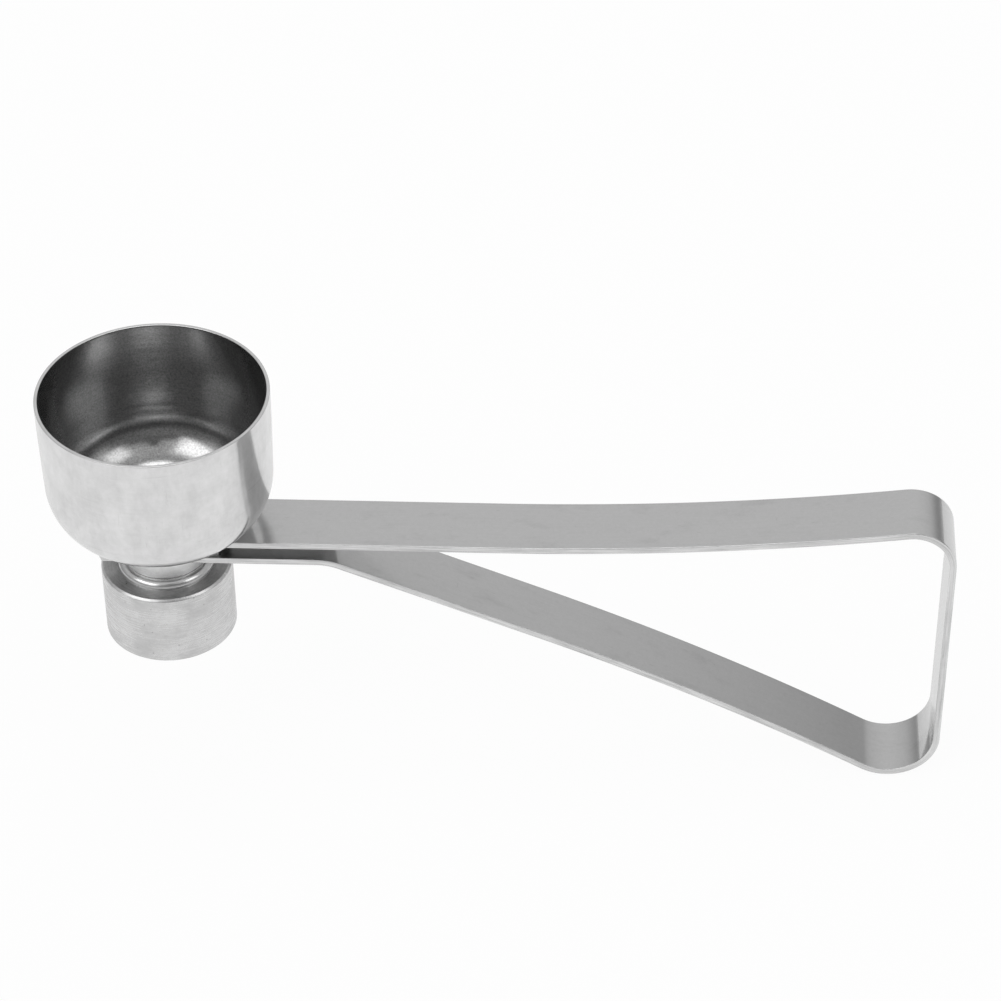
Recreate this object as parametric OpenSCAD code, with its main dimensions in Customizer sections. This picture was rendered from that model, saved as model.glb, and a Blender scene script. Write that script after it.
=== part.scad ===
// Spring egg topper, laid out as it is held with the cup's mouth upwards.
// The cup sits on the upper leg of a bent spring strip. A turned weight hangs under the
// lower leg, and strikes the anvil pad under the cup when the squeezed legs snap open.
// Origin: the middle of the weight's flat end, on the cup's axis. X runs along the strip,
// Y across it, and Z is the cup's axis.

/* [Cup] */
// Outer diameter of the cup at its mouth
cup_d = 40; // [36:0.5:48]
// Height of the cup from its seat on the strip to its rim
cup_h = 27.5; // [24:0.5:34]
// Thickness of the cup's wall and base
cup_wall = 0.6; // [0.5:0.05:1]
// Outer radius of the corner between the cup's base and its side
cup_corner_r = 10.5; // [7:0.5:12]
// Draw angle of the cup's side, in degrees
cup_draft_angle = 1.4; // [0.4:0.1:2.5]
// Height of the straight band below the rim
cup_band_h = 4.5; // [3:0.5:8]

/* [Spring strip] */
// Width of the strip
strip_w = 12.2; // [10:0.2:15]
// Thickness of the strip
strip_t = 1.2; // [0.8:0.1:1.6]
// Radius of the strip's rounded tips about the cup's axis
tip_r = 12; // [10:0.5:13]
// Straight length of the upper leg, from the cup's axis
upper_straight = 59; // [45:1:75]
// Radius that the legs are bowed to
leg_bow_r = 500; // [350:10:900]
// Angle of the upper leg's bowed length, in degrees
upper_bow_angle = 8; // [5:0.5:11]
// Radius of the upper end corner, on the strip's middle line
upper_corner_r = 7; // [4:0.5:10]
// Radius of the lower end corner, on the strip's middle line
lower_corner_r = 8.5; // [5:0.5:11]
// Lean of the end of the loop, in degrees
end_lean_angle = 1; // [0:0.5:4]
// Straight length of the lower leg, from the cup's axis to the nip
nip_straight = 27; // [24:0.5:34]
// Radius of the bend at the nip, on the strip's middle line
nip_r = 10; // [6:0.5:16]
// Angle of the bend at the nip, in degrees
nip_bend_angle = 23.4; // [20:0.2:26]
// Angle of the lower leg's bowed length on the striker's side of its flexing line
arm_bow_angle = 1.4; // [0.6:0.2:2.4]
// Angle of the lower leg's bowed length on the far side of its flexing line
leg_bow_angle = 6; // [4:0.5:8]
// Gap in the strip's solids at each line where the strip flexes
flex_gap = 0.3; // [0.2:0.05:0.5]

/* [Anvil and rivet] */
// Thickness of the anvil pad, which keeps the legs this far apart
pad_t = 2.3; // [1.8:0.1:3]
// Diameter of the rivet through cup, strip and pad
rivet_d = 4; // [3:0.25:5]
// Diameter of the rivet's head inside the cup
rivet_head_d = 8; // [6.5:0.25:10]
// Height of the rivet's head
rivet_head_h = 1.3; // [0.8:0.1:2]
// Diameter of the rivet's flared tail in the pad
rivet_tail_d = 5.6; // [5.4:0.1:7]
// Height of the flare
rivet_tail_h = 0.8; // [0.5:0.1:1.2]
// Depth of the rivet's tail below the pad's face
rivet_sink = 0.2; // [0.1:0.05:0.4]

/* [Striker] */
// Diameter of the collar under the lower leg
collar_d = 16.2; // [13:0.2:18]
// Height of the collar
collar_h = 2.3; // [1.5:0.1:4]
// Diameter of the domed washer on the weight
washer_d = 17.4; // [15:0.2:20]
// Height of the domed washer
washer_h = 1.9; // [1.4:0.1:3]
// Diameter of the weight
weight_d = 23; // [20:0.5:30]
// Height of the weight
weight_h = 14.1; // [10:0.5:20]
// Chamfer on the weight's edges
weight_chamfer = 0.4; // [0.2:0.1:1]
// Diameter of the screw that holds the striker together
screw_d = 5; // [4:0.5:6]
// Diameter of the screw's countersunk head
screw_head_d = 7.4; // [7:0.2:8.6]
// Depth of the screw's thread in the weight
screw_grip = 8; // [5:0.5:9]
// Depth of the hexagon recess in the screw's head
socket_depth = 1.4; // [1:0.1:2]
// Width of the hexagon recess across its corners
socket_d = 3.4; // [2.4:0.1:3.8]

/* [Fits] */
// Gap all round the screw and the rivet in their holes
hole_clear = 0.05; // [0.03:0.01:0.1]
// Depth of the screw's head below the strip's face
screw_sink = 0.1; // [0.05:0.05:0.2]

/* [Hidden] */
$fn = 96;
eps = 0.01;
// Greatest distance between a bend and its facets
facet_sag = 0.005;
steel = "silver";
bright_steel = "gainsboro";

// Levels up the cup's axis, from the weight's flat end
weight_top_z = weight_h;
washer_top_z = weight_top_z + washer_h;
collar_top_z = washer_top_z + collar_h;
lower_mid_z = collar_top_z + strip_t / 2;
pad_bottom_z = collar_top_z + strip_t;
pad_top_z = pad_bottom_z + pad_t;
upper_mid_z = pad_top_z + strip_t / 2;
cup_z = pad_top_z + strip_t;
screw_end_z = weight_top_z - screw_grip;
rivet_end_z = pad_bottom_z + rivet_sink;

// The strip is walked step by step. A step is [length, 0] for a straight length, or
// [radius, turn] for a bend, where a positive turn is towards +Z.
function step_end(step, heading) =
    step[1] == 0
    ? step[0] * [cos(heading), sin(heading)]
    : sign(step[1]) * step[0]
      * [sin(heading + step[1]) - sin(heading), cos(heading) - cos(heading + step[1])];
function walk(steps, start, heading, i = 0) =
    i == len(steps)
    ? start
    : walk(steps, start + step_end(steps[i], heading), heading + steps[i][1], i + 1);

// Stations [x, z, heading] along a walk, close enough in a bend to keep within facet_sag
function facets(step) =
    step[1] == 0 ? 1 : ceil(abs(step[1]) / (2 * acos(1 - facet_sag / step[0])));
function part_step(step, share) = step[1] == 0 ? [step[0] * share, 0] : [step[0], step[1] * share];
function stations(steps, start, heading, i = 0) =
    i == len(steps)
    ? []
    : concat(
        [for (k = [i == 0 ? 0 : 1 : facets(steps[i])])
            let (part = part_step(steps[i], k / facets(steps[i])),
                 place = k == 0 ? start : start + step_end(part, heading))
            [place[0], place[1], heading + (k == 0 ? 0 : part[1])]],
        stations(steps, start + step_end(steps[i], heading), heading + steps[i][1], i + 1));
function side_point(station, side) =
    [station[0], station[1]] + side * strip_t / 2 * [-sin(station[2]), cos(station[2])];

// Upper leg from the cup's axis to the end of the loop
end_heading = -90 - end_lean_angle;
upper_steps = [[upper_straight, 0], [leg_bow_r, upper_bow_angle],
               [upper_corner_r, end_heading - upper_bow_angle]];
// Lower leg from the cup's axis through the nip, and on round the lower corner
nip_steps = [[nip_straight, 0], [nip_r, -nip_bend_angle]];
corner_turn = 180 + end_heading + nip_bend_angle + arm_bow_angle + leg_bow_angle;
bow_steps = [[leg_bow_r, -arm_bow_angle - leg_bow_angle], [lower_corner_r, corner_turn]];

// Two lengths close the loop: the end's straight length, and the one behind the nip
upper_end = walk(upper_steps, [0, upper_mid_z], 0);
nip_end = walk(nip_steps, [0, lower_mid_z], 0);
across = walk(bow_steps, nip_end, -nip_bend_angle) - upper_end;
end_dir = [cos(end_heading), sin(end_heading)];
nip_dir = [cos(nip_bend_angle), -sin(nip_bend_angle)];
closing = end_dir[0] * nip_dir[1] - end_dir[1] * nip_dir[0];
end_straight = (across[0] * nip_dir[1] - across[1] * nip_dir[0]) / closing;
nip_run = (across[0] * end_dir[1] - across[1] * end_dir[0]) / closing;

// The two lines where the strip flexes, [x, z] on its middle line, half a gap from each
// solid's end
trim = flex_gap / 2;
bow_trim = trim / leg_bow_r * 180 / PI;
loop_flex = upper_end + end_straight * end_dir;
arm_flex = walk(concat(nip_steps, [[nip_run, 0], [leg_bow_r, -arm_bow_angle]]), [0, lower_mid_z], 0);
arm_steps = concat(nip_steps, [[nip_run, 0], [leg_bow_r, bow_trim - arm_bow_angle]]);
leg_heading = -nip_bend_angle - arm_bow_angle - bow_trim;
leg_start = arm_flex + step_end([trim, 0], leg_heading);
leg_steps = [[leg_bow_r, bow_trim - leg_bow_angle], [lower_corner_r, corner_turn]];

// The strip along a walk, as wide as the strip
module strip_run(steps, start, heading) {
    path = stations(steps, start, heading);
    last = len(path) - 1;
    outline = concat([for (k = [0 : last]) side_point(path[k], 1)],
                     [for (k = [0 : last]) side_point(path[last - k], -1)]);
    translate([0, strip_w / 2, 0]) rotate([90, 0, 0]) linear_extrude(strip_w) polygon(outline);
}

// A plate as wide as the strip, with its ends rounded about the cup's axis
module tip_plate(z, thickness) {
    intersection() {
        translate([0, 0, z]) cylinder(h = thickness, r = tip_r);
        translate([-tip_r, -strip_w / 2, z]) cube([2 * tip_r, strip_w, thickness]);
    }
}

// A hole down the cup's axis between two levels
module axis_hole(d, z_low, z_high) {
    translate([0, 0, z_low - eps]) cylinder(h = z_high - z_low + 2 * eps, d = d + 2 * hole_clear);
}

// Half section of the cup's outside, or of its inside when set in by the wall
module cup_section(inset, top) {
    mouth_r = cup_d / 2 - inset;
    corner_r = cup_corner_r - inset;
    band_z = cup_h - cup_band_h;
    // The corner's circle touches the base and the drawn side
    corner_z = inset + corner_r;
    corner_x = mouth_r - (band_z - corner_z) * tan(cup_draft_angle) - corner_r / cos(cup_draft_angle);
    touch = [corner_x + corner_r * cos(cup_draft_angle), corner_z - corner_r * sin(cup_draft_angle)];
    intersection() {
        union() {
            polygon([[0, touch[1]], touch, [mouth_r, band_z], [mouth_r, top], [0, top]]);
            translate([corner_x, corner_z]) circle(r = corner_r);
            translate([0, inset]) square([corner_x, corner_r]);
        }
        translate([0, inset]) square([cup_d, top - inset]);
    }
}

module bell_cup() {
    color(bright_steel) difference() {
        translate([0, 0, cup_z]) rotate_extrude($fn = 180) cup_section(0, cup_h);
        translate([0, 0, cup_z]) rotate_extrude($fn = 180) cup_section(cup_wall, cup_h + eps);
        axis_hole(rivet_d, cup_z, cup_z + cup_wall);
    }
}

module cup_rivet() {
    floor_z = cup_z + cup_wall;
    // The low domed head is a slice of a ball
    dome_r = (rivet_head_d * rivet_head_d / 4 + rivet_head_h * rivet_head_h) / (2 * rivet_head_h);
    color(steel) {
        translate([0, 0, rivet_end_z]) cylinder(h = floor_z - rivet_end_z, d = rivet_d);
        translate([0, 0, rivet_end_z])
            cylinder(h = rivet_tail_h, d1 = rivet_tail_d, d2 = rivet_d);
        intersection() {
            translate([0, 0, floor_z + rivet_head_h - dome_r]) sphere(r = dome_r);
            translate([0, 0, floor_z]) cylinder(h = rivet_head_h, d = rivet_head_d);
        }
    }
}

module anvil_pad() {
    color(steel) difference() {
        tip_plate(pad_bottom_z, pad_t);
        axis_hole(rivet_d, pad_bottom_z, pad_top_z);
        // Countersink for the rivet's tail, open below it
        translate([0, 0, rivet_end_z])
            cylinder(h = rivet_tail_h, d1 = rivet_tail_d + 2 * hole_clear,
                     d2 = rivet_d + 2 * hole_clear);
        translate([0, 0, pad_bottom_z - eps])
            cylinder(h = rivet_sink + eps, d = rivet_tail_d + 2 * hole_clear);
    }
}

module upper_leg() {
    color(steel) difference() {
        union() {
            tip_plate(pad_top_z, strip_t);
            strip_run(concat(upper_steps, [[end_straight - trim, 0]]), [0, upper_mid_z], 0);
        }
        axis_hole(rivet_d, pad_top_z, cup_z);
    }
}

module lower_leg() {
    color(steel) strip_run(leg_steps, leg_start, leg_heading);
}

module striker_arm() {
    color(steel) difference() {
        union() {
            tip_plate(collar_top_z, strip_t);
            strip_run(arm_steps, [0, lower_mid_z], 0);
        }
        axis_hole(screw_d, collar_top_z, pad_bottom_z);
        screw_head(strip_t + eps, hole_clear);
    }
}

// The screw's countersunk head, up from the strip's lower face
module screw_head(depth, clear = 0) {
    head_slope = (screw_head_d - screw_d) / strip_t;
    translate([0, 0, collar_top_z])
        cylinder(h = depth, d1 = screw_d + 2 * clear, d2 = screw_d + head_slope * depth + 2 * clear);
}

module striker_collar() {
    color(steel) difference() {
        translate([0, 0, washer_top_z]) cylinder(h = collar_h, d = collar_d);
        axis_hole(screw_d, washer_top_z, collar_top_z);
    }
}

module striker_washer() {
    edge_r = washer_h / 2;
    color(bright_steel) rotate_extrude($fn = 144) difference() {
        union() {
            translate([0, weight_top_z]) square([washer_d / 2 - edge_r, washer_h]);
            translate([washer_d / 2 - edge_r, weight_top_z + edge_r]) circle(r = edge_r, $fn = 48);
        }
        translate([-eps, weight_top_z - eps])
            square([screw_d / 2 + hole_clear + eps, washer_h + 2 * eps]);
    }
}

module striker_weight() {
    r = weight_d / 2;
    color(bright_steel) difference() {
        rotate_extrude($fn = 144) polygon([
            [0, 0], [r - weight_chamfer, 0], [r, weight_chamfer],
            [r, weight_top_z - weight_chamfer], [r - weight_chamfer, weight_top_z],
            [0, weight_top_z]]);
        axis_hole(screw_d, screw_end_z, weight_top_z);
    }
}

module striker_screw() {
    color(steel) difference() {
        union() {
            translate([0, 0, screw_end_z + screw_sink])
                cylinder(h = collar_top_z - screw_end_z - screw_sink, d = screw_d);
            screw_head(strip_t - screw_sink);
        }
        translate([0, 0, pad_bottom_z - screw_sink - socket_depth])
            cylinder(h = socket_depth + eps, d = socket_d, $fn = 6);
    }
}

bell_cup();
cup_rivet();
anvil_pad();
upper_leg();
lower_leg();
striker_arm();
striker_collar();
striker_washer();
striker_weight();
striker_screw();
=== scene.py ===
"""Egg topper: a bent spring strip with a bell cup on its upper leg and a turned weight under its
lower leg. Sizes are in millimetres and turns in degrees, unless their names or comments say
otherwise, in the frame of the CAD model: the cup's axis is Z, the strip runs along X, and Z is 0
at the weight's flat end."""

import math

import bmesh
import bpy
from mathutils import Matrix, Vector


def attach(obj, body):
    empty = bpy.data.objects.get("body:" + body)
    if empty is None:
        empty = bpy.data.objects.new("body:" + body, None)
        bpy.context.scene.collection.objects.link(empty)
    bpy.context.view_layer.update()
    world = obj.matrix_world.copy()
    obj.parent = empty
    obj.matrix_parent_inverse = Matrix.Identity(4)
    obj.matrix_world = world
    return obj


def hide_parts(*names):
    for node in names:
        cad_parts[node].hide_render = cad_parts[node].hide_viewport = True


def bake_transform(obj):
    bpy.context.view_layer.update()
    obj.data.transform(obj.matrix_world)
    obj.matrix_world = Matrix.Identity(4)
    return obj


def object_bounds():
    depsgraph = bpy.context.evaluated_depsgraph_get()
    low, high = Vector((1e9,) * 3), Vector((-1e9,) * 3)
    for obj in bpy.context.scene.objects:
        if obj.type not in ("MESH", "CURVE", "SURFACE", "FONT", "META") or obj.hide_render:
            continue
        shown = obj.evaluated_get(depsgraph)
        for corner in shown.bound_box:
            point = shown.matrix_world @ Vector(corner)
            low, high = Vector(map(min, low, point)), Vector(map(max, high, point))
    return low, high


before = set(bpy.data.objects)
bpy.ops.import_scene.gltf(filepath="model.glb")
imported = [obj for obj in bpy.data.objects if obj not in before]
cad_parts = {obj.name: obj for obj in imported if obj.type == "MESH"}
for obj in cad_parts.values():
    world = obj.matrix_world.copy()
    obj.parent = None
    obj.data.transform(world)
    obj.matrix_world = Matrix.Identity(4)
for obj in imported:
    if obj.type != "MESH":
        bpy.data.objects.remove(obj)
cad_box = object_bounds()

MM = 0.001
AXIS_Z = (0, 0, 1)
FULL_TURN = 2 * math.pi

# ---------------------------------------------------------------- sizes, as in the CAD source
STRIP_WIDTH = 12.2
STRIP_THICK = 1.2
TIP_RADIUS = 12
UPPER_STRAIGHT = 59
BOW_RADIUS = 500
UPPER_BOW = 8
# Bends are (radius, turn in degrees)
UPPER_CORNER = (7, -99)
LOWER_CORNER = (8.5, -119.8)
LEG_BOW = 7.4
NIP_BEND = (10, 23.4)
NIP_STRAIGHT = 27

# Heights from the weight's flat end up to the cup's rim
WEIGHT_TOP = 14.1
COLLAR_TOP = 18.3
PAD_THICK = 2.3
CUP_HIGH = 27.5
PAD_BOTTOM = COLLAR_TOP + STRIP_THICK
PAD_TOP = PAD_BOTTOM + PAD_THICK
CUP_SEAT = PAD_TOP + STRIP_THICK
CUP_RIM = CUP_SEAT + CUP_HIGH
UPPER_MID = PAD_TOP + STRIP_THICK / 2
LOWER_MID = PAD_BOTTOM - STRIP_THICK / 2

# Radii and heights of the fasteners and of the holes they pass through
HOLE_GAP = 0.05
RIVET_SHANK = 2.0
RIVET_TAIL = 2.8
RIVET_HOLE = RIVET_SHANK + HOLE_GAP
RIVET_TAIL_HOLE = RIVET_TAIL + HOLE_GAP
RIVET_TAIL_Z = 19.7
RIVET_FLARE_Z = 20.5
SCREW_HOLE = 2.55
SCREW_HEAD_HOLE = 3.75
SCREW_HOLE_END = 6.1

# ---------------------------------------------------------------- fineness of the meshes
STRIP_COLUMNS = 12
STRIP_ROWS = 3
STEP_MM = 3
STEP_DEGREES = 3
# A bend of a larger radius than this is stepped by its length, a tighter one by its angle
WIDE_BEND = 100
# Rows of faces this close to a rounded edge keep the flats flat in the shading
EDGE_BAND = 0.22
# Angles between faces, past which an edge is rounded on the strip and the pad, and shown sharp
ROUNDED_ANGLE = 50
SHARP_ANGLE = 40
MERGE_M = 1e-7


# ---------------------------------------------------------------- shader maths
class Signal:
    """One number that varies over a surface, as an output socket that Python sums can use."""

    def __init__(self, nodes, socket):
        self.nodes, self.socket = nodes, socket

    def math(self, operation, *values):
        inputs = {i: v for i, v in enumerate((self, *values))}
        return self.nodes.add("ShaderNodeMath", {"operation": operation}, inputs)[0]

    def __add__(self, other):
        return self.math("ADD", other)

    def __mul__(self, other):
        return self.math("MULTIPLY", other)

    def __sub__(self, other):
        return self.math("SUBTRACT", other)

    def __rsub__(self, other):
        return (self * -1.0) + other

    def __truediv__(self, other):
        return self.math("DIVIDE", other)

    def __pow__(self, other):
        return self.math("POWER", other)

    __radd__ = __add__
    __rmul__ = __mul__

    def smooth(self, low, high):
        """0 below low, 1 above high, with a soft step between."""
        return self.nodes.add(
            "ShaderNodeMapRange", {"interpolation_type": "SMOOTHSTEP"},
            {"Value": self, "From Min": low, "From Max": high, "To Min": 0.0, "To Max": 1.0})[0]


class Nodes:
    """A node tree, with one method that adds any node."""

    def __init__(self, tree):
        self.tree = tree
        tree.nodes.clear()

    def add(self, kind, settings, inputs):
        """Adds a node. Returns its outputs as signals, by number or by name."""
        made = self.tree.nodes.new(kind)
        for name, value in settings.items():
            setattr(made, name, value)
        for key, value in inputs.items():
            if isinstance(value, Signal):
                self.tree.links.new(value.socket, made.inputs[key])
            else:
                made.inputs[key].default_value = value
        return Outputs(self, made)


class Outputs:
    """The outputs of a node, by number or by name."""

    def __init__(self, nodes, made):
        self.nodes, self.made = nodes, made

    def __getitem__(self, key):
        return Signal(self.nodes, self.made.outputs[key])


class Finish(Nodes):
    """A metal finish: grey, roughness and bump that vary over the surface."""

    def __init__(self, name):
        self.material = bpy.data.materials.new(name)
        self.material.use_nodes = True
        super().__init__(self.material.node_tree)

    def place(self, scale=(1, 1, 1)):
        """Object coordinates in millimetres, times scale."""
        coordinates = self.add("ShaderNodeTexCoord", {}, {})["Object"]
        return self.add("ShaderNodeMapping", {},
                        {"Vector": coordinates, "Scale": [s / MM for s in scale]})[0]

    def along(self, scale):
        """The piece's own map, in millimetres along and across the strip, times scale."""
        coordinates = self.add("ShaderNodeUVMap", {"uv_map": "run"}, {})[0]
        return self.add("ShaderNodeMapping", {}, {"Vector": coordinates, "Scale": scale})[0]

    def axes(self, vector):
        """The three parts of a vector or a colour."""
        parts = self.add("ShaderNodeSeparateXYZ", {}, {0: vector})
        return parts[0], parts[1], parts[2]

    def join(self, x, y, z):
        """A vector of three signals."""
        return self.add("ShaderNodeCombineXYZ", {}, {0: x, 1: y, 2: z})[0]

    def around(self, lumps, per_mm):
        """Coordinates for marks that run round the cup's axis: few lumps in a turn, and many
        across it."""
        x, y, z = self.axes(self.place())
        radius = (x * x + y * y) ** 0.5
        return self.join(x / radius * lumps, y / radius * lumps, (z + radius) * per_mm)

    def noise(self, vector, scale, detail, roughness):
        """Clouds from 0 to 1, about 1 / scale apart. detail says how many finer sizes of cloud
        they hold, and roughness how strong those are."""
        return self.add("ShaderNodeTexNoise", {"noise_dimensions": "3D"},
                        {"Vector": vector, "Scale": scale, "Detail": detail,
                         "Roughness": roughness})[0]

    def pits(self, vector, spacing_mm, size):
        """1 in sparse small pits, 0 elsewhere."""
        cells = self.add("ShaderNodeTexVoronoi", {"feature": "F1"},
                         {"Vector": vector, "Scale": 1 / spacing_mm, "Randomness": 1.0})
        # About one cell in four holds a pit
        chosen = self.axes(cells["Color"])[0].smooth(0.72, 0.74)
        return (1.0 - cells["Distance"].smooth(size * 0.5, size)) * chosen

    def scratches(self, vector, share):
        """1 in thin dashes along the least scaled axis of a vector, 0 elsewhere. Fewer dashes are
        left as share nears 1."""
        return self.noise(vector, 1.0, 2.0, 0.5).smooth(share, share + 0.04)

    def done(self, grey, rough, height, bump_mm, haze, haze_rough):
        """Ends the finish. grey and rough are signals, height is a signal from 0 to 1. haze is
        the share of the shine that the grain of the metal scatters widely."""
        normal = self.add("ShaderNodeBump", {}, {"Strength": 1.0, "Distance": bump_mm * MM,
                                                 "Height": height})[0]
        colour = self.add("ShaderNodeCombineColor", {}, {0: grey, 1: grey, 2: grey})[0]
        shine, scatter = [self.add("ShaderNodeBsdfPrincipled", {},
                                   {"Base Color": colour, "Metallic": 1.0, "Roughness": level,
                                    "Normal": normal})[0] for level in (rough, haze_rough)]
        mixed = self.add("ShaderNodeMixShader", {}, {0: haze, 1: shine, 2: scatter})[0]
        self.add("ShaderNodeOutputMaterial", {}, {"Surface": mixed})
        return self.material


def cup_outside():
    """Satin outside: faint smudges, marks of the spinning round it, and a few scratches."""
    finish = Finish("cup_outside_satin")
    smudge = finish.noise(finish.place(), 0.17, 5.0, 0.66)
    spun = finish.noise(finish.around(5.0, 2.2), 1.0, 4.0, 0.7)
    grain = finish.noise(finish.place(), 3.0, 2.0, 0.6)
    wiped = finish.noise(finish.place((1.0, 1.0, 0.35)), 0.55, 4.0, 0.6)
    hair = finish.scratches(finish.place((2.6, 2.6, 0.22)), 0.70)
    hair = hair + finish.scratches(finish.around(1.5, 3.2), 0.70)
    mottle = finish.noise(finish.place((1.0, 1.0, 0.7)), 0.9, 4.0, 0.7)
    grey = 0.40 + smudge * 0.30 + wiped * 0.18 + spun * 0.08 + mottle * 0.14 - hair * 0.06
    rough = 0.06 + smudge * 0.12
    return finish.done(grey, rough, height=spun * 0.5 + grain * 0.5, bump_mm=0.0016,
                       haze=0.30, haze_rough=0.34)


def cup_inside():
    """Inside: finely grained, so its highlights sparkle, with a soft wipe down the wall."""
    finish = Finish("cup_inside_grain_and_shade")
    grain = finish.noise(finish.place(), 3.0, 3.0, 0.85)
    wipe = finish.noise(finish.place((1.0, 1.0, 0.3)), 0.14, 3.0, 0.55)
    spun = finish.noise(finish.around(2.5, 2.8), 1.0, 4.0, 0.8)
    fleck = finish.pits(finish.place(), 3.4, 0.05)
    # The low grey level, 0.26, is painted shade: the inside is darker than the outside of the same
    # sheet
    grey = (grain - 0.5) * 0.75 + wipe * 0.12 + spun * 0.20 + fleck * 0.15 + 0.26
    rough = 0.08 + wipe * 0.10
    return finish.done(grey, rough, height=grain * 0.5 + spun * 0.5, bump_mm=0.014,
                       haze=0.26, haze_rough=0.40)


def strip_satin():
    """Rolled strip: hairlines along its length, smudged faces, streaked and brighter edges."""
    finish = Finish("strip_satin")
    hair = finish.noise(finish.along((0.05, 6.0, 1.0)), 1.0, 4.0, 0.75)
    smudge = finish.noise(finish.along((0.11, 0.24, 1.0)), 1.0, 5.0, 0.66)
    drag = finish.noise(finish.along((0.35, 1.1, 1.0)), 1.0, 4.0, 0.7)
    grain = finish.noise(finish.place(), 4.0, 2.0, 0.6)
    worn = smudge.smooth(0.52, 0.70)
    half = STRIP_WIDTH / 2
    side = finish.axes(finish.place())[1].math("ABSOLUTE").smooth(half - 0.2, half)
    streak = finish.noise(finish.along((0.08, 2.4, 1.0)), 1.0, 3.0, 0.75)
    mottle = finish.noise(finish.place(), 1.5, 4.0, 0.75)
    nick = finish.scratches(finish.along((0.35, 4.0, 1.0)), 0.70)
    nick = nick + finish.scratches(finish.along((2.2, 0.3, 1.0)), 0.74)
    grey = 0.52 + hair * 0.09 - worn * 0.09 * drag + grain * 0.05 + mottle * 0.10 - nick * 0.10
    grey = grey + side * ((streak - 0.5) * 0.9 + 0.03)
    rough = 0.05 + smudge * 0.08 + side * 0.10
    height = hair * 0.5 + grain * 0.3 + side * streak
    return finish.done(grey, rough, height, bump_mm=0.0014, haze=0.38, haze_rough=0.34)


def turned_steel(name, grey_level, rough_level, groove_mm, contrast=1.0, pitting=0.0, haze=0.3):
    """Turned on a lathe: fine rings round the axis, clouding, and small pits. contrast scales the
    marks, and pitting is how much darker a pit is."""
    finish = Finish(name)
    rings = finish.noise(finish.around(1.3, 4.0), 1.0, 5.0, 0.85)
    drag = finish.noise(finish.around(7.0, 2.4), 1.0, 4.0, 0.75)
    cloud = finish.noise(finish.place(), 0.16, 4.0, 0.6)
    grain = finish.noise(finish.place(), 3.0, 2.0, 0.7)
    pit = finish.pits(finish.place(), 1.5, 0.13)
    marks = (rings - 0.5) * 0.20 + (drag - 0.5) * 0.16
    marks = marks + (cloud - 0.5) * 0.30 + (grain - 0.5) * 0.08
    grey = grey_level + marks * contrast - pit * pitting
    rough = rough_level + rings * 0.08 + cloud * 0.06
    height = rings * 0.6 + drag * 0.3 + grain * 0.1
    return finish.done(grey, rough, height, bump_mm=groove_mm, haze=haze, haze_rough=0.45)


# ---------------------------------------------------------------- mesh making
def piece(name, bm, finishes):
    """Ends a bmesh as an object at the origin, smooth but for its sharp edges."""
    mesh = bpy.data.meshes.new(name)
    bm.to_mesh(mesh)
    bm.free()
    for finish in finishes:
        mesh.materials.append(finish)
    mesh.shade_smooth()
    mesh.set_sharp_from_angle(angle=math.radians(SHARP_ANGLE))
    made = bpy.data.objects.new(name, mesh)
    bpy.context.scene.collection.objects.link(made)
    return made


def turned(section, rounds=(), closed=True, steps=256):
    """Spins a half section of (radius, height) corners about the cup's axis. rounds says how
    much is taken off a corner along its sides, by its number, and in how many steps."""
    bm = bmesh.new()
    corners = [bm.verts.new((r * MM, 0, z * MM)) for r, z in section]
    for a, b in zip(corners, corners[1:] + corners[:1] if closed else corners[1:]):
        bm.edges.new((a, b))
    for number, off, segments in rounds:
        bmesh.ops.bevel(bm, geom=[corners[number]], offset=off * MM, offset_type="OFFSET",
                        segments=segments, profile=0.5, affect="VERTICES", material=-1)
    band = EDGE_BAND * MM
    # A side too short for a band at each end is left whole
    for edge in bm.edges[:]:
        if edge.calc_length() > 4 * band:
            for end in edge.verts[:]:
                bmesh.utils.edge_split(edge, end, band / edge.calc_length())
    bmesh.ops.spin(bm, geom=bm.verts[:] + bm.edges[:], cent=(0, 0, 0), axis=AXIS_Z,
                   dvec=(0, 0, 0), angle=FULL_TURN, steps=steps, use_merge=True)
    bmesh.ops.remove_doubles(bm, verts=bm.verts, dist=MERGE_M)
    bmesh.ops.recalc_face_normals(bm, faces=bm.faces)
    return bm


def angular(bm):
    """The edges of a bmesh that are to be rounded."""
    return [edge for edge in bm.edges if edge.calc_face_angle(0) > math.radians(ROUNDED_ANGLE)]


def drill(made, wall):
    """Cuts a turned hole out of a piece. wall is the hole's half section as (radius, height)
    corners, from below the piece to above it."""
    section = [(0, wall[0][1]), *wall, (0, wall[-1][1])]
    cutter = piece("cutter", turned(section, closed=False, steps=96), [])
    tool = made.modifiers.new("drill", "BOOLEAN")
    tool.object, tool.operation, tool.solver = cutter, "DIFFERENCE", "EXACT"
    graph = bpy.context.evaluated_depsgraph_get()
    drilled = bpy.data.meshes.new_from_object(made.evaluated_get(graph))
    made.modifiers.remove(tool)
    made.data = drilled
    bpy.data.objects.remove(cutter)


def spread(place, count, width):
    """Moves an even row of points from -0.5 to 0.5 out to a width, with its outer cells narrow."""
    if abs(place) > 0.5 - 0.5 / count:
        return math.copysign(width / 2, place)
    return place / (0.5 - 1 / count) * (width / 2 - EDGE_BAND)


def towards(heading):
    """One millimetre along a heading, which is an angle up from X."""
    return Vector((math.cos(heading), 0, math.sin(heading)))


def walked(steps):
    """Where a walk from the origin along X ends, and its last heading. A step is (length, 0) or
    (bend radius, turn in degrees)."""
    place, heading = Vector((0, 0, 0)), 0.0
    for size, turn in steps:
        bend = math.radians(turn)
        reach = 2 * size * math.sin(abs(bend) / 2) if turn else size
        place = place + towards(heading + bend / 2) * reach
        heading += bend
    return place, heading


STRIP_EDGE_ROUND = 0.11


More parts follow.
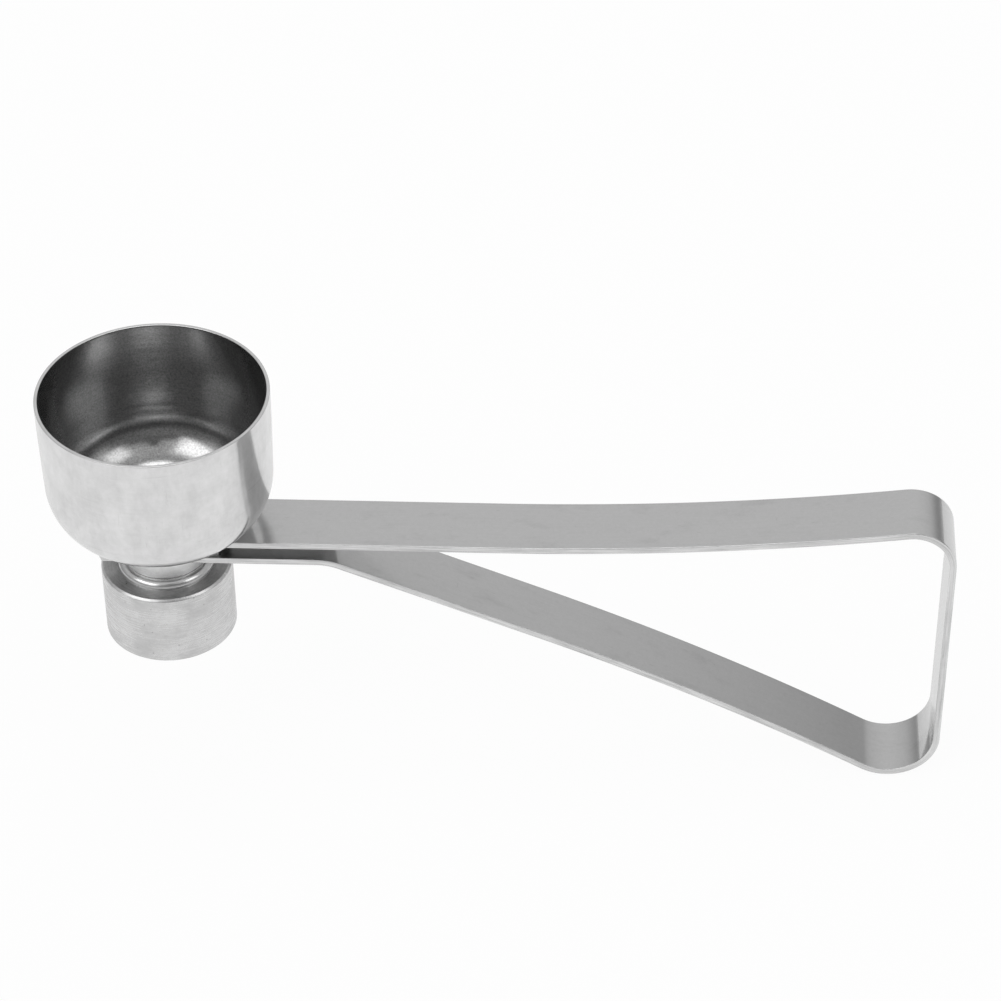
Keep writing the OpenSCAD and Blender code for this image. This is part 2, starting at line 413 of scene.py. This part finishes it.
def strip_length(name, start, steps, finish, tips=(False, False)):
    """A length of the strip, pushed along the steps of a walk. start is (place, heading, run so
    far). A tip is rounded about the cup's axis. Gives the piece and the start of the next
    length."""
    place, heading, run = Vector(start[0]), start[1], start[2]
    bm = bmesh.new()
    runs = bm.verts.layers.float.new("run_mm")
    depths = bm.verts.layers.float.new("depth_mm")
    bmesh.ops.create_grid(bm, x_segments=STRIP_COLUMNS, y_segments=STRIP_ROWS, size=0.5)
    forward, upward = towards(heading), towards(heading + math.pi / 2)
    for v in bm.verts:
        across = spread(v.co.x, STRIP_COLUMNS, STRIP_WIDTH)
        depth = spread(v.co.y, STRIP_ROWS, STRIP_THICK)
        v[runs], v[depths] = run, depth
        v.co = (place + across * Vector((0, 1, 0)) + depth * upward) * MM
    section = bm.faces[:]
    first, last = set(bm.verts), set()
    for size, turn in steps:
        bend = math.radians(turn)
        length = abs(bend) * size if turn else size
        by_length = size > WIDE_BEND or not turn
        count = max(1, math.ceil(length / STEP_MM if by_length else abs(turn) / STEP_DEGREES))
        centre = place + math.copysign(size, bend) * upward if turn else None
        for _ in range(count):
            behind = section if last else []
            grown = bmesh.ops.extrude_face_region(bm, geom=section)["geom"]
            bmesh.ops.delete(bm, geom=[face for face in behind if face.is_valid],
                             context="FACES")
            section = [g for g in grown if isinstance(g, bmesh.types.BMFace)]
            last = {g for g in grown if isinstance(g, bmesh.types.BMVert)}
            run += length / count
            if turn:
                rotation = Matrix.Rotation(-bend / count, 3, "Y")
                bmesh.ops.rotate(bm, verts=list(last), cent=centre * MM, matrix=rotation)
                place = centre + rotation @ (place - centre)
                forward, upward = rotation @ forward, rotation @ upward
            else:
                bmesh.ops.translate(bm, verts=list(last), vec=forward * length / count * MM)
                place = place + forward * length / count
            for v in last:
                v[runs] = run
        heading += bend
    for ring, is_tip in ((first, tips[0]), (last, tips[1])):
        if is_tip:
            for v in ring:
                v.co.x = -math.sqrt(TIP_RADIUS ** 2 - (v.co.y / MM) ** 2) * MM
    bmesh.ops.recalc_face_normals(bm, faces=bm.faces)
    joints = [ring for ring, is_tip in ((first, tips[0]), (last, tips[1])) if not is_tip]
    corners = [edge for edge in angular(bm)
               if not any(set(edge.verts) <= ring for ring in joints)]
    bmesh.ops.bevel(bm, geom=corners, offset=STRIP_EDGE_ROUND * MM, offset_type="OFFSET",
                    segments=3, profile=0.5, affect="EDGES", clamp_overlap=True, material=-1)
    uv = bm.loops.layers.uv.new("run")
    for face in bm.faces:
        for loop in face.loops:
            v = loop.vert
            loop[uv].uv = (v[runs], v.co.y / MM + v[depths])
    return piece(name, bm, [finish]), (place, heading, run)


def ring_section(inner, outer, low, high):
    """Half section of a plain ring: inner foot, outer foot, outer top, inner top."""
    return [(inner, low), (outer, low), (outer, high), (inner, high)]


def finished(made, body, slot, *nodes):
    """Puts a piece on its body in place of CAD nodes. A piece given no body is put on none."""
    if body:
        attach(made, body)
    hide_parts(*nodes)


# ---------------------------------------------------------------- bell cup
CUP_RADIUS = 20.0
CUP_WALL = 0.6
CUP_BAND_HIGH = 4.5
CUP_BAND_Z = CUP_RIM - CUP_BAND_HIGH
DRAFT = 1.4
CORNER_ROUND = 10.5
BAND_ROUND = 1.5
RIM_ROUND = 0.1


def cup_foot(inset):
    """Where the drawn side would meet the base, and how far the corner's round reaches."""
    base_z = CUP_SEAT + inset
    lean = math.radians(DRAFT)
    radius = CUP_RADIUS - inset - (CUP_BAND_Z - base_z) * math.tan(lean)
    reach = (CORNER_ROUND - inset) * math.tan((math.pi / 2 - lean) / 2)
    return (radius, base_z), reach


outer_foot, outer_reach = cup_foot(0.0)
inner_foot, inner_reach = cup_foot(CUP_WALL)
cup_corners = [
    (RIVET_HOLE, CUP_SEAT), outer_foot, (CUP_RADIUS, CUP_BAND_Z), (CUP_RADIUS, CUP_RIM),
    (CUP_RADIUS - CUP_WALL, CUP_RIM), (CUP_RADIUS - CUP_WALL, CUP_BAND_Z), inner_foot,
    (RIVET_HOLE, CUP_SEAT + CUP_WALL)]
cup_rounds = [(1, outer_reach, 32), (6, inner_reach, 32), (3, RIM_ROUND, 3), (4, RIM_ROUND, 3),
              (2, BAND_ROUND, 6), (5, BAND_ROUND, 6)]
cup = piece("bell_cup_shell", turned(cup_corners, cup_rounds, steps=360),
            [cup_outside(), cup_inside()])
LEAST_LEAN = 0.05
RIM_EDGE = 0.05
for face in cup.data.polygons:
    # Inner wall, inner corner and floor look towards the axis or up, and lie below the rim
    outward = Vector((face.center.x, face.center.y, 0)).normalized()
    inner = face.normal.dot(outward) < -LEAST_LEAN or face.normal.z > LEAST_LEAN
    face.material_index = int(inner and face.center.z < (CUP_RIM - RIM_EDGE) * MM)
finished(cup, "cup_and_upper_leg", "cup_steel", "bell_cup")

# ---------------------------------------------------------------- rivet
HEAD_RADIUS, HEAD_HIGH = 4.0, 1.3
dome = (HEAD_RADIUS ** 2 + HEAD_HIGH ** 2) / (2 * HEAD_HIGH)
floor_z = CUP_SEAT + CUP_WALL
dome_points = [(r, floor_z + HEAD_HIGH - dome + math.sqrt(dome ** 2 - r ** 2))
               for r in (0, 0.7, 1.4, 2.1, 2.8, 3.4, HEAD_RADIUS)]
rivet_steel = turned_steel("rivet_steel", grey_level=0.50, rough_level=0.16, groove_mm=0.004)
rivet = piece("cup_rivet_domed", turned(
    dome_points + [(RIVET_SHANK, floor_z), (RIVET_SHANK, RIVET_FLARE_Z),
                   (RIVET_TAIL, RIVET_TAIL_Z), (0, RIVET_TAIL_Z)], closed=False, steps=128),
    [rivet_steel])
finished(rivet, "cup_and_upper_leg", "fastener_steel", "cup_rivet")

# ---------------------------------------------------------------- pad between the legs
# Set back from the strip's edges, so that it stays in the shade between the legs
PAD_INSET = 0.5
PAD_EDGE_ROUND = 0.12
PAD_DRILL_PAST = 0.1
pad_bm = bmesh.new()
bmesh.ops.create_circle(pad_bm, cap_ends=True, radius=(TIP_RADIUS - PAD_INSET) * MM, segments=144)
bmesh.ops.translate(pad_bm, verts=pad_bm.verts, vec=(0, 0, PAD_BOTTOM * MM))
for side in (-1, 1):
    bmesh.ops.bisect_plane(pad_bm, geom=pad_bm.verts[:] + pad_bm.edges[:] + pad_bm.faces[:],
                           plane_co=(0, side * (STRIP_WIDTH / 2 - PAD_INSET) * MM, 0),
                           plane_no=(0, side, 0), clear_outer=True)
lifted = bmesh.ops.extrude_face_region(pad_bm, geom=pad_bm.faces[:])["geom"]
bmesh.ops.translate(pad_bm, verts=[g for g in lifted if isinstance(g, bmesh.types.BMVert)],
                    vec=(0, 0, (PAD_TOP - PAD_BOTTOM) * MM))
bmesh.ops.recalc_face_normals(pad_bm, faces=pad_bm.faces)
bmesh.ops.bevel(pad_bm, geom=angular(pad_bm), offset=PAD_EDGE_ROUND * MM, offset_type="OFFSET",
                segments=2, profile=0.5, affect="EDGES", material=-1)
pad_steel = turned_steel("pad_steel", grey_level=0.38, rough_level=0.26, groove_mm=0.006,
                         contrast=1.5, pitting=0.2)
pad = piece("anvil_pad_plate", pad_bm, [pad_steel])
drill(pad, [(RIVET_TAIL_HOLE, PAD_BOTTOM - PAD_DRILL_PAST), (RIVET_TAIL_HOLE, RIVET_TAIL_Z),
            (RIVET_HOLE, RIVET_FLARE_Z), (RIVET_HOLE, PAD_TOP + PAD_DRILL_PAST)])
finished(pad, "cup_and_upper_leg", "fastener_steel", "anvil_pad")

# ---------------------------------------------------------------- strip
steel = strip_satin()
# The strip is one walk from the cup's axis round to it again. It closes at two of its lengths:
# the end's straight run, and the run behind the nip
to_end = [(UPPER_STRAIGHT, 0), (BOW_RADIUS, UPPER_BOW), UPPER_CORNER]
to_nip = to_end + [LOWER_CORNER, (BOW_RADIUS, LEG_BOW)]
end_way, nip_way = towards(walked(to_end)[1]), towards(walked(to_nip)[1])
gap = Vector((0, 0, LOWER_MID - UPPER_MID)) - walked(to_nip + [NIP_BEND, (NIP_STRAIGHT, 0)])[0]
closing = end_way.cross(nip_way).y
end_run = gap.cross(nip_way).y / closing
nip_run = end_way.cross(gap).y / closing
# Where the strip's pieces meet: millimetres down the end's run, and degrees into the leg's bow
END_SPLIT = 12.0
LEG_SPLIT = 3.6
STRIP_DRILL_PAST = 0.8
upper_strip, joint = strip_length(
    "strip_upper", ((-TIP_RADIUS, 0, UPPER_MID), 0.0, 0.0),
    [(TIP_RADIUS + UPPER_STRAIGHT, 0), (BOW_RADIUS, UPPER_BOW), UPPER_CORNER, (END_SPLIT, 0)],
    steel, tips=(True, False))
loop_end, joint = strip_length(
    "strip_loop_end", joint, [(end_run - END_SPLIT, 0), LOWER_CORNER, (BOW_RADIUS, LEG_SPLIT)],
    steel)
lower_strip, _ = strip_length(
    "strip_lower", joint,
    [(BOW_RADIUS, LEG_BOW - LEG_SPLIT), (nip_run, 0), NIP_BEND, (NIP_STRAIGHT + TIP_RADIUS, 0)],
    steel, tips=(False, True))
drill(upper_strip, [(RIVET_HOLE, PAD_TOP - STRIP_DRILL_PAST),
                    (RIVET_HOLE, CUP_SEAT + STRIP_DRILL_PAST)])
drill(lower_strip, [(SCREW_HOLE, COLLAR_TOP - STRIP_DRILL_PAST), (SCREW_HOLE, COLLAR_TOP),
                    (SCREW_HEAD_HOLE, PAD_BOTTOM),
                    (SCREW_HEAD_HOLE, PAD_BOTTOM + STRIP_DRILL_PAST)])
finished(upper_strip, "cup_and_upper_leg", "strip_steel", "upper_leg")
finished(loop_end, None, "strip_steel", "lower_leg")
finished(lower_strip, None, "strip_steel", "striker_arm")

# ---------------------------------------------------------------- striker
# The collar and the washer's shoulder are smaller than their CAD solids, as in the photograph
COLLAR_FOOT = 15.5
COLLAR_RADIUS = 7.3
COLLAR_FOOT_ROUND = 0.22
COLLAR_TOP_ROUND = 0.15
collar_steel = turned_steel("collar_steel", grey_level=0.86, rough_level=0.34, groove_mm=0.004,
                            contrast=1.3, pitting=0.10, haze=0.6)
collar = piece("striker_collar_ring", turned(
    ring_section(SCREW_HOLE, COLLAR_RADIUS, COLLAR_FOOT, COLLAR_TOP),
    [(1, COLLAR_FOOT_ROUND, 4), (2, COLLAR_TOP_ROUND, 3)]), [collar_steel])
finished(collar, "striker", "turned_steel", "striker_collar")

SHOULDER = COLLAR_FOOT - WEIGHT_TOP
# The rounding stops this short of the washer's height, so that no side has zero length
SHOULDER_LEFT = 0.01
washer_steel = turned_steel("washer_steel", grey_level=0.70, rough_level=0.10,
                            groove_mm=0.0015, contrast=0.8, pitting=0.25)
washer = piece("striker_washer_domed", turned(
    ring_section(SCREW_HOLE, COLLAR_RADIUS + SHOULDER, WEIGHT_TOP, COLLAR_FOOT),
    [(2, SHOULDER - SHOULDER_LEFT, 14)]), [washer_steel])
finished(washer, "striker", "turned_steel", "striker_washer")

WEIGHT_RADIUS = 11.5
CHAMFER = 0.4
CHAMFER_ROUND = 0.08
LEVEL_FACE = 0.9
weight_steel = turned_steel("weight_steel", grey_level=0.68, rough_level=0.20, groove_mm=0.004,
                            contrast=1.4, pitting=0.25, haze=0.6)
# The level faces are rougher and more pitted than the side, and their darker grey is painted shade
weight_face_shaded_steel = turned_steel("weight_face_shaded_steel", grey_level=0.45, rough_level=0.34,
                                 groove_mm=0.004, contrast=1.8, pitting=0.35, haze=0.7)
weight = piece("striker_weight_turned", turned(
    [(0, 0), (WEIGHT_RADIUS - CHAMFER, 0), (WEIGHT_RADIUS, CHAMFER),
     (WEIGHT_RADIUS, WEIGHT_TOP - CHAMFER), (WEIGHT_RADIUS - CHAMFER, WEIGHT_TOP),
     (SCREW_HOLE, WEIGHT_TOP), (SCREW_HOLE, SCREW_HOLE_END), (0, SCREW_HOLE_END)],
    [(corner, CHAMFER_ROUND, 3) for corner in (1, 2, 3, 4)], closed=False, steps=320),
    [weight_steel, weight_face_shaded_steel])
for face in weight.data.polygons:
    face.material_index = int(abs(face.normal.z) > LEVEL_FACE)
finished(weight, "striker", "turned_steel", "striker_weight")

# ---------------------------------------------------------------- CAD node that shows as it is
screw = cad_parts["striker_screw"]
screw.data.materials.clear()
screw.data.materials.append(rivet_steel)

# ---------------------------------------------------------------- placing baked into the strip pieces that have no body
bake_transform(loop_end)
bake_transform(lower_strip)

# ---------------------------------------------------------------- floor, light and camera
FLOOR_HALF_M = 3.0
FLOOR_GAP_M = 0.00005
floor_bm = bmesh.new()
bmesh.ops.create_grid(floor_bm, x_segments=1, y_segments=1, size=FLOOR_HALF_M)
bmesh.ops.translate(floor_bm, verts=floor_bm.verts, vec=(0, 0, cad_box[0].z - FLOOR_GAP_M))


def pale_floor():
    """Matt and pale under the part's shadow, near white to the camera, and pale in the metal."""
    finish = Finish("pale_floor")
    path = finish.add("ShaderNodeLightPath", {}, {})
    seen = path["Is Camera Ray"] * 0.95 + path["Is Glossy Ray"] * 0.65
    matt = finish.add("ShaderNodeBsdfPrincipled", {}, {"Base Color": (0.9, 0.9, 0.9, 1.0),
                                                  "Roughness": 0.9,
                                                  "Specular IOR Level": 0.0})[0]
    white = finish.add("ShaderNodeEmission", {}, {"Color": (1, 1, 1, 1), "Strength": 1.0})[0]
    mixed = finish.add("ShaderNodeMixShader", {}, {0: seen, 1: matt, 2: white})[0]
    finish.add("ShaderNodeOutputMaterial", {}, {"Surface": mixed})
    return finish.material


stage_floor = piece("floor", floor_bm, [pale_floor()])

world = bpy.data.worlds.new("studio")
bpy.context.scene.world = world
world.use_nodes = True


class Studio(Nodes):
    """Plain studio light as a pattern over the directions. x, y and z are the direction's parts,
    bearing is degrees from the camera's side, positive to the right, and rise is degrees up."""

    def __init__(self, tree):
        super().__init__(tree)
        direction = self.add("ShaderNodeTexCoord", {}, {})["Generated"]
        parts = self.add("ShaderNodeSeparateXYZ", {}, {0: direction})
        self.x, self.y, self.z = parts[0], parts[1], parts[2]
        self.bearing = self.x.math("ARCTAN2", self.y * -1.0) * (180 / math.pi)
        self.rise = self.z.math("ARCSINE") * (180 / math.pi)

    def soft_box(self, bearing, half_width, low, high, edge=7.0):
        """1 in a patch about a bearing, from a low to a high rise, 0 outside it. In degrees."""
        aside = (self.bearing - bearing).math("ABSOLUTE")
        wide = 1.0 - aside.smooth(half_width - edge, half_width + edge)
        tall = self.rise.smooth(low - edge, low + edge)
        return wide * tall * (1.0 - self.rise.smooth(high - edge, high + edge))


room = Studio(world.node_tree)
# Walls: pale behind the part and upwards, dimmer low at the back right, pale along their foot
back = (room.y - room.x.math("ABSOLUTE") * 0.6).smooth(0.0, 0.75)
walls = 0.22 + back * 0.18 + room.z.smooth(0.0, 0.52) * 0.27
walls = walls - room.soft_box(143, 20, low=6, high=16, edge=10.0) * 0.17
walls = walls + (1.0 - room.rise.smooth(-6, 8)) * 0.28
# Camera's side: dim, but for its foot and a high band, in which the camera stands dark
low_front = (1.0 - room.rise.smooth(4, 30)) * 0.28
high_front = room.rise.smooth(36, 46) * (1.0 - room.rise.smooth(70, 78)) * 0.50
camera_shade = room.soft_box(13, 7, low=40, high=51, edge=2.0)
front = (0.13 + low_front + high_front) * (1.0 - camera_shade)
walls = walls + (room.y * -1.0).smooth(0.0, 0.45) * (front - walls)
# Lamps: a soft box at each side of the camera, and one overhead
boxes = room.soft_box(-46, 26, low=26, high=64) * 2.0
boxes = boxes + room.soft_box(66, 15, low=26, high=58) * 1.5
overhead = (room.y * 0.12 + room.z * 0.993).smooth(0.965, 0.990)
light = walls + boxes + overhead * 2.8
# The camera itself sees plain white in place of the room
seen = room.add("ShaderNodeLightPath", {}, {})["Is Camera Ray"]
strength = seen + (1.0 - seen) * light
background = room.add("ShaderNodeBackground", {}, {"Color": (1, 1, 1, 1),
                                                   "Strength": strength})[0]
room.add("ShaderNodeOutputWorld", {}, {"Surface": background})

# The camera's lens, place and turn were found from the edges seen in the photograph. OFFSET is
# where the cup's axis at TARGET_Z lies from the camera, in millimetres right, down and away
FOCAL_PIXELS, IMAGE_PIXELS, SENSOR = 3859.05, 1001, 36.0
PITCH, YAW, ROLL = (math.radians(a) for a in (39.2385, -3.5302, -1.134))
TARGET_Z = 23.0
OFFSET = Vector((-58.5925, 3.2107, 670.3093))
# Right, down and away, for a level camera that looks along Y
level_axes = Matrix(((1, 0, 0), (0, 0, -1), (0, 1, 0)))
to_camera = (Matrix.Rotation(ROLL, 3, "Z") @ Matrix.Rotation(PITCH, 3, "X")
             @ level_axes @ Matrix.Rotation(YAW, 3, "Z"))
lens = bpy.data.cameras.new("photo_camera")
lens.sensor_width = SENSOR
lens.lens = SENSOR * FOCAL_PIXELS / IMAGE_PIXELS
lens.clip_start, lens.clip_end = 0.05, 20
camera = bpy.data.objects.new("photo_camera", lens)
bpy.context.scene.collection.objects.link(camera)
stand = (to_camera.transposed() @ -OFFSET + Vector((0, 0, TARGET_Z))) * MM
# Blender's cameras count up and towards the viewer
turned_round = to_camera.transposed() @ Matrix.Diagonal((1, -1, -1))
camera.matrix_world = Matrix.Translation(stand) @ turned_round.to_4x4()
bpy.context.scene.camera = camera

bpy.context.scene.view_settings.view_transform = "Standard"

bpy.context.view_layer.update()
